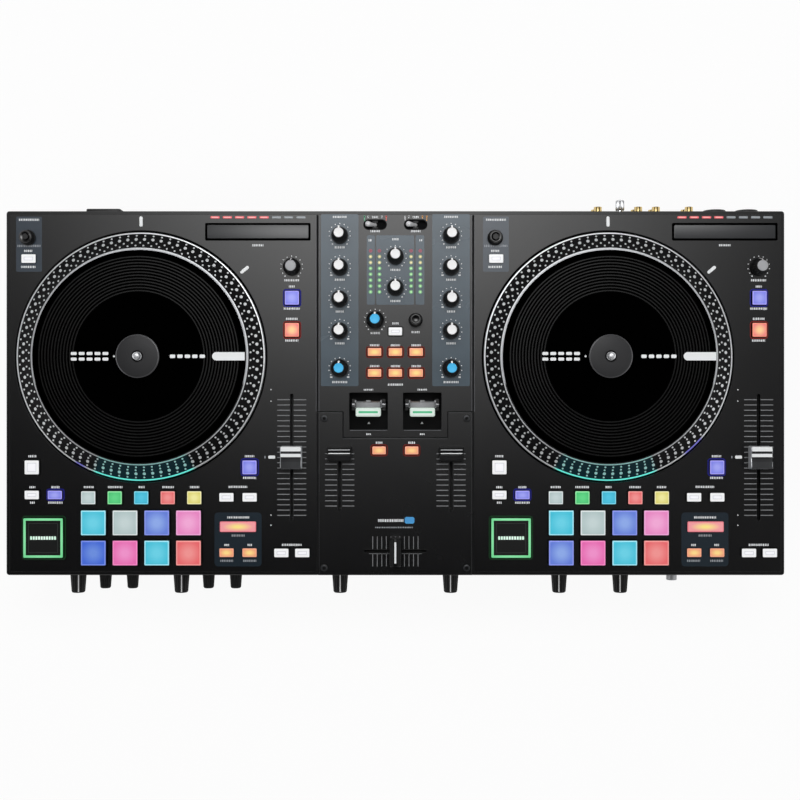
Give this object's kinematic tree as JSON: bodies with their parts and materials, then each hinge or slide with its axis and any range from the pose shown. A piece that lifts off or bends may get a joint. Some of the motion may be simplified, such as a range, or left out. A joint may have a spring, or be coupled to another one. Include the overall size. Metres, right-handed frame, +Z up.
{
  "type": "dj controller",
  "caption": "Two-deck DJ controller with motor platters, a centre mixer, pads, keys, faders, knobs and sprung effect paddles.",
  "frame": {"origin": "on the ground, under the centre of the outer box", "axes": "+X to the user's right, +Y towards the rear sockets, +Z up"},
  "size_m": [0.675, 0.3546, 0.117],
  "materials": {
    "casing": "satin black moulded plastic",
    "panel": "satin black coated plate",
    "fader_plate": "satin black coated plate",
    "circuit_board": "green lacquered board",
    "phono_sockets": "gold plated",
    "socket": "black plastic",
    "foot": "black rubber",
    "motor": "zinc plated",
    "platter": "turned silver",
    "control_disc": "grooved black",
    "knob": "black with a pale cap",
    "pitch_cap": "silver",
    "fader_cap": "black with a white line",
    "metal_lever": "satin nickel",
    "keys": "translucent, lit from below",
    "pads": "translucent silicone, lit from below"
  },
  "bodies": {
    "root": {"chassis_tray": "casing", "top_panel": "panel", "fader_plate": "fader_plate", "control_board": "circuit_board", "rear_jack_board": "phono_sockets", "output_sockets": "socket", "power_inlet": "socket", "headphone_jack": "socket", "foot_front_left": "foot", "foot_front_right": "foot", "foot_rear_left": "foot", "foot_rear_right": "foot", "motor_left": "motor", "motor_right": "motor"},
    "platter_left": {"platter_left": "platter", "control_disc_left": "control_disc"},
    "platter_right": {"platter_right": "platter", "control_disc_right": "control_disc"},
    "level_knob_left": {"level_knob_left": "knob"},
    "high_knob_left": {"high_knob_left": "knob"},
    "mid_knob_left": {"mid_knob_left": "knob"},
    "low_knob_left": {"low_knob_left": "knob"},
    "filter_knob_left": {"filter_knob_left": "knob"},
    "browse_encoder_left": {"browse_encoder_left": "knob"},
    "stop_time_knob_left": {"stop_time_knob_left": "knob"},
    "level_knob_right": {"level_knob_right": "knob"},
    "high_knob_right": {"high_knob_right": "knob"},
    "mid_knob_right": {"mid_knob_right": "knob"},
    "low_knob_right": {"low_knob_right": "knob"},
    "filter_knob_right": {"filter_knob_right": "knob"},
    "browse_encoder_right": {"browse_encoder_right": "knob"},
    "stop_time_knob_right": {"stop_time_knob_right": "knob"},
    "main_knob": {"main_knob": "knob"},
    "booth_knob": {"booth_knob": "knob"},
    "effect_depth_knob": {"effect_depth_knob": "knob"},
    "effect_beat_encoder": {"effect_beat_encoder": "knob"},
    "microphone_level_knob_1": {"microphone_level_knob_1": "knob"},
    "microphone_high_knob_1": {"microphone_high_knob_1": "knob"},
    "microphone_low_knob_1": {"microphone_low_knob_1": "knob"},
    "microphone_level_knob_2": {"microphone_level_knob_2": "knob"},
    "microphone_high_knob_2": {"microphone_high_knob_2": "knob"},
    "microphone_low_knob_2": {"microphone_low_knob_2": "knob"},
    "fader_contour_knob_left": {"fader_contour_knob_left": "knob"},
    "fader_contour_knob_right": {"fader_contour_knob_right": "knob"},
    "cue_mix_knob": {"cue_mix_knob": "knob"},
    "cue_level_knob": {"cue_level_knob": "knob"},
    "pitch_fader_left": {"pitch_fader_left": "pitch_cap"},
    "channel_fader_left": {"channel_fader_left": "fader_cap"},
    "source_switch_left": {"source_switch_left": "metal_lever"},
    "effect_paddle_left": {"effect_paddle_left": "metal_lever"},
    "deck_keys_left": {"deck_keys_left": "keys"},
    "pads_left": {"pads_left": "pads"},
    "pitch_fader_right": {"pitch_fader_right": "pitch_cap"},
    "channel_fader_right": {"channel_fader_right": "fader_cap"},
    "source_switch_right": {"source_switch_right": "metal_lever"},
    "effect_paddle_right": {"effect_paddle_right": "metal_lever"},
    "deck_keys_right": {"deck_keys_right": "keys"},
    "pads_right": {"pads_right": "pads"},
    "crossfader": {"crossfader": "fader_cap"},
    "mixer_keys": {"mixer_keys": "keys"}
  },
  "joints": [
    {"name": "platter_left_turn", "type": "hinge", "parent": "root", "child": "platter_left", "pos_m": [-0.2206, 0.034, 0.095], "axis": [0, 0, 1], "continuous": true},
    {"name": "platter_right_turn", "type": "hinge", "parent": "root", "child": "platter_right", "pos_m": [0.1844, 0.034, 0.095], "axis": [0, 0, 1], "continuous": true},
    {"name": "level_knob_left_turn", "type": "hinge", "parent": "root", "child": "level_knob_left", "pos_m": [-0.0483, 0.1392, 0.105], "axis": [0, 0, 1], "range_deg": [-150, 150]},
    {"name": "high_knob_left_turn", "type": "hinge", "parent": "root", "child": "high_knob_left", "pos_m": [-0.0483, 0.1116, 0.105], "axis": [0, 0, 1], "range_deg": [-150, 150]},
    {"name": "mid_knob_left_turn", "type": "hinge", "parent": "root", "child": "mid_knob_left", "pos_m": [-0.0483, 0.084, 0.105], "axis": [0, 0, 1], "range_deg": [-150, 150]},
    {"name": "low_knob_left_turn", "type": "hinge", "parent": "root", "child": "low_knob_left", "pos_m": [-0.0483, 0.0564, 0.105], "axis": [0, 0, 1], "range_deg": [-150, 150]},
    {"name": "filter_knob_left_turn", "type": "hinge", "parent": "root", "child": "filter_knob_left", "pos_m": [-0.0483, 0.0238, 0.105], "axis": [0, 0, 1], "range_deg": [-150, 150]},
    {"name": "browse_encoder_left_turn", "type": "hinge", "parent": "root", "child": "browse_encoder_left", "pos_m": [-0.3185, 0.1371, 0.1], "axis": [0, 0, 1], "continuous": true},
    {"name": "stop_time_knob_left_turn", "type": "hinge", "parent": "root", "child": "stop_time_knob_left", "pos_m": [-0.0899, 0.1119, 0.1], "axis": [0, 0, 1], "range_deg": [-150, 150]},
    {"name": "level_knob_right_turn", "type": "hinge", "parent": "root", "child": "level_knob_right", "pos_m": [0.0483, 0.1392, 0.105], "axis": [0, 0, 1], "range_deg": [-150, 150]},
    {"name": "high_knob_right_turn", "type": "hinge", "parent": "root", "child": "high_knob_right", "pos_m": [0.0483, 0.1116, 0.105], "axis": [0, 0, 1], "range_deg": [-150, 150]},
    {"name": "mid_knob_right_turn", "type": "hinge", "parent": "root", "child": "mid_knob_right", "pos_m": [0.0483, 0.084, 0.105], "axis": [0, 0, 1], "range_deg": [-150, 150]},
    {"name": "low_knob_right_turn", "type": "hinge", "parent": "root", "child": "low_knob_right", "pos_m": [0.0483, 0.0564, 0.105], "axis": [0, 0, 1], "range_deg": [-150, 150]},
    {"name": "filter_knob_right_turn", "type": "hinge", "parent": "root", "child": "filter_knob_right", "pos_m": [0.0483, 0.0238, 0.105], "axis": [0, 0, 1], "range_deg": [-150, 150]},
    {"name": "browse_encoder_right_turn", "type": "hinge", "parent": "root", "child": "browse_encoder_right", "pos_m": [0.0865, 0.1371, 0.1], "axis": [0, 0, 1], "continuous": true},
    {"name": "stop_time_knob_right_turn", "type": "hinge", "parent": "root", "child": "stop_time_knob_right", "pos_m": [0.3151, 0.1119, 0.1], "axis": [0, 0, 1], "range_deg": [-150, 150]},
    {"name": "main_knob_turn", "type": "hinge", "parent": "root", "child": "main_knob", "pos_m": [0, 0.121, 0.105], "axis": [0, 0, 1], "range_deg": [-150, 150]},
    {"name": "booth_knob_turn", "type": "hinge", "parent": "root", "child": "booth_knob", "pos_m": [0, 0.0939, 0.105], "axis": [0, 0, 1], "range_deg": [-150, 150]},
    {"name": "effect_depth_knob_turn", "type": "hinge", "parent": "root", "child": "effect_depth_knob", "pos_m": [-0.0175, 0.0657, 0.105], "axis": [0, 0, 1], "range_deg": [-150, 150]},
    {"name": "effect_beat_encoder_turn", "type": "hinge", "parent": "root", "child": "effect_beat_encoder", "pos_m": [0.0175, 0.0657, 0.105], "axis": [0, 0, 1], "continuous": true},
    {"name": "microphone_level_knob_1_turn", "type": "hinge", "parent": "root", "child": "microphone_level_knob_1", "pos_m": [-0.2868, -0.1605, 0.05], "axis": [0, -1, 0], "range_deg": [-150, 150]},
    {"name": "microphone_high_knob_1_turn", "type": "hinge", "parent": "root", "child": "microphone_high_knob_1", "pos_m": [-0.2622, -0.1605, 0.05], "axis": [0, -1, 0], "range_deg": [-150, 150]},
    {"name": "microphone_low_knob_1_turn", "type": "hinge", "parent": "root", "child": "microphone_low_knob_1", "pos_m": [-0.2376, -0.1605, 0.05], "axis": [0, -1, 0], "range_deg": [-150, 150]},
    {"name": "microphone_level_knob_2_turn", "type": "hinge", "parent": "root", "child": "microphone_level_knob_2", "pos_m": [-0.1936, -0.1605, 0.05], "axis": [0, -1, 0], "range_deg": [-150, 150]},
    {"name": "microphone_high_knob_2_turn", "type": "hinge", "parent": "root", "child": "microphone_high_knob_2", "pos_m": [-0.169, -0.1605, 0.05], "axis": [0, -1, 0], "range_deg": [-150, 150]},
    {"name": "microphone_low_knob_2_turn", "type": "hinge", "parent": "root", "child": "microphone_low_knob_2", "pos_m": [-0.1444, -0.1605, 0.05], "axis": [0, -1, 0], "range_deg": [-150, 150]},
    {"name": "fader_contour_knob_left_turn", "type": "hinge", "parent": "root", "child": "fader_contour_knob_left", "pos_m": [-0.0501, -0.1605, 0.05], "axis": [0, -1, 0], "range_deg": [-150, 150]},
    {"name": "fader_contour_knob_right_turn", "type": "hinge", "parent": "root", "child": "fader_contour_knob_right", "pos_m": [0.0497, -0.1605, 0.05], "axis": [0, -1, 0], "range_deg": [-150, 150]},
    {"name": "cue_mix_knob_turn", "type": "hinge", "parent": "root", "child": "cue_mix_knob", "pos_m": [0.1478, -0.1605, 0.05], "axis": [0, -1, 0], "range_deg": [-150, 150]},
    {"name": "cue_level_knob_turn", "type": "hinge", "parent": "root", "child": "cue_level_knob", "pos_m": [0.2031, -0.1605, 0.05], "axis": [0, -1, 0], "range_deg": [-150, 150]},
    {"name": "pitch_fader_left_slide", "type": "slide", "parent": "root", "child": "pitch_fader_left", "axis": [0, 1, 0], "range_m": [-0.05, 0.05]},
    {"name": "channel_fader_left_slide", "type": "slide", "parent": "root", "child": "channel_fader_left", "axis": [0, 1, 0], "range_m": [-0.045, 0]},
    {"name": "source_switch_left_turn", "type": "hinge", "parent": "root", "child": "source_switch_left", "pos_m": [-0.0176, 0.1486, 0.0924], "axis": [0, 1, 0], "range_deg": [0, 84]},
    {"name": "effect_paddle_left_turn", "type": "hinge", "parent": "root", "child": "effect_paddle_left", "pos_m": [-0.0233, -0.0077, 0.0878], "axis": [1, 0, 0], "range_deg": [-18, 18], "stiffness_Nm_per_rad": 0.4},
    {"name": "deck_keys_left_slide", "type": "slide", "parent": "root", "child": "deck_keys_left", "axis": [0, 0, -1], "range_m": [0, 0.0015], "stiffness_N_per_m": 1500, "springref_m": -0.001},
    {"name": "pads_left_slide", "type": "slide", "parent": "root", "child": "pads_left", "axis": [0, 0, -1], "range_m": [0, 0.0015], "stiffness_N_per_m": 1500, "springref_m": -0.001},
    {"name": "pitch_fader_right_slide", "type": "slide", "parent": "root", "child": "pitch_fader_right", "axis": [0, 1, 0], "range_m": [-0.05, 0.05]},
    {"name": "channel_fader_right_slide", "type": "slide", "parent": "root", "child": "channel_fader_right", "axis": [0, 1, 0], "range_m": [-0.045, 0]},
    {"name": "source_switch_right_turn", "type": "hinge", "parent": "root", "child": "source_switch_right", "pos_m": [0.0176, 0.1486, 0.0924], "axis": [0, 1, 0], "range_deg": [0, 84]},
    {"name": "effect_paddle_right_turn", "type": "hinge", "parent": "root", "child": "effect_paddle_right", "pos_m": [0.0233, -0.0077, 0.0878], "axis": [1, 0, 0], "range_deg": [-18, 18], "stiffness_Nm_per_rad": 0.4},
    {"name": "deck_keys_right_slide", "type": "slide", "parent": "root", "child": "deck_keys_right", "axis": [0, 0, -1], "range_m": [0, 0.0015], "stiffness_N_per_m": 1500, "springref_m": -0.001},
    {"name": "pads_right_slide", "type": "slide", "parent": "root", "child": "pads_right", "axis": [0, 0, -1], "range_m": [0, 0.0015], "stiffness_N_per_m": 1500, "springref_m": -0.001},
    {"name": "crossfader_slide", "type": "slide", "parent": "root", "child": "crossfader", "axis": [1, 0, 0], "range_m": [-0.0225, 0.0225]},
    {"name": "mixer_keys_slide", "type": "slide", "parent": "root", "child": "mixer_keys", "axis": [0, 0, -1], "range_m": [0, 0.0015], "stiffness_N_per_m": 1500, "springref_m": -0.001}
  ]
}
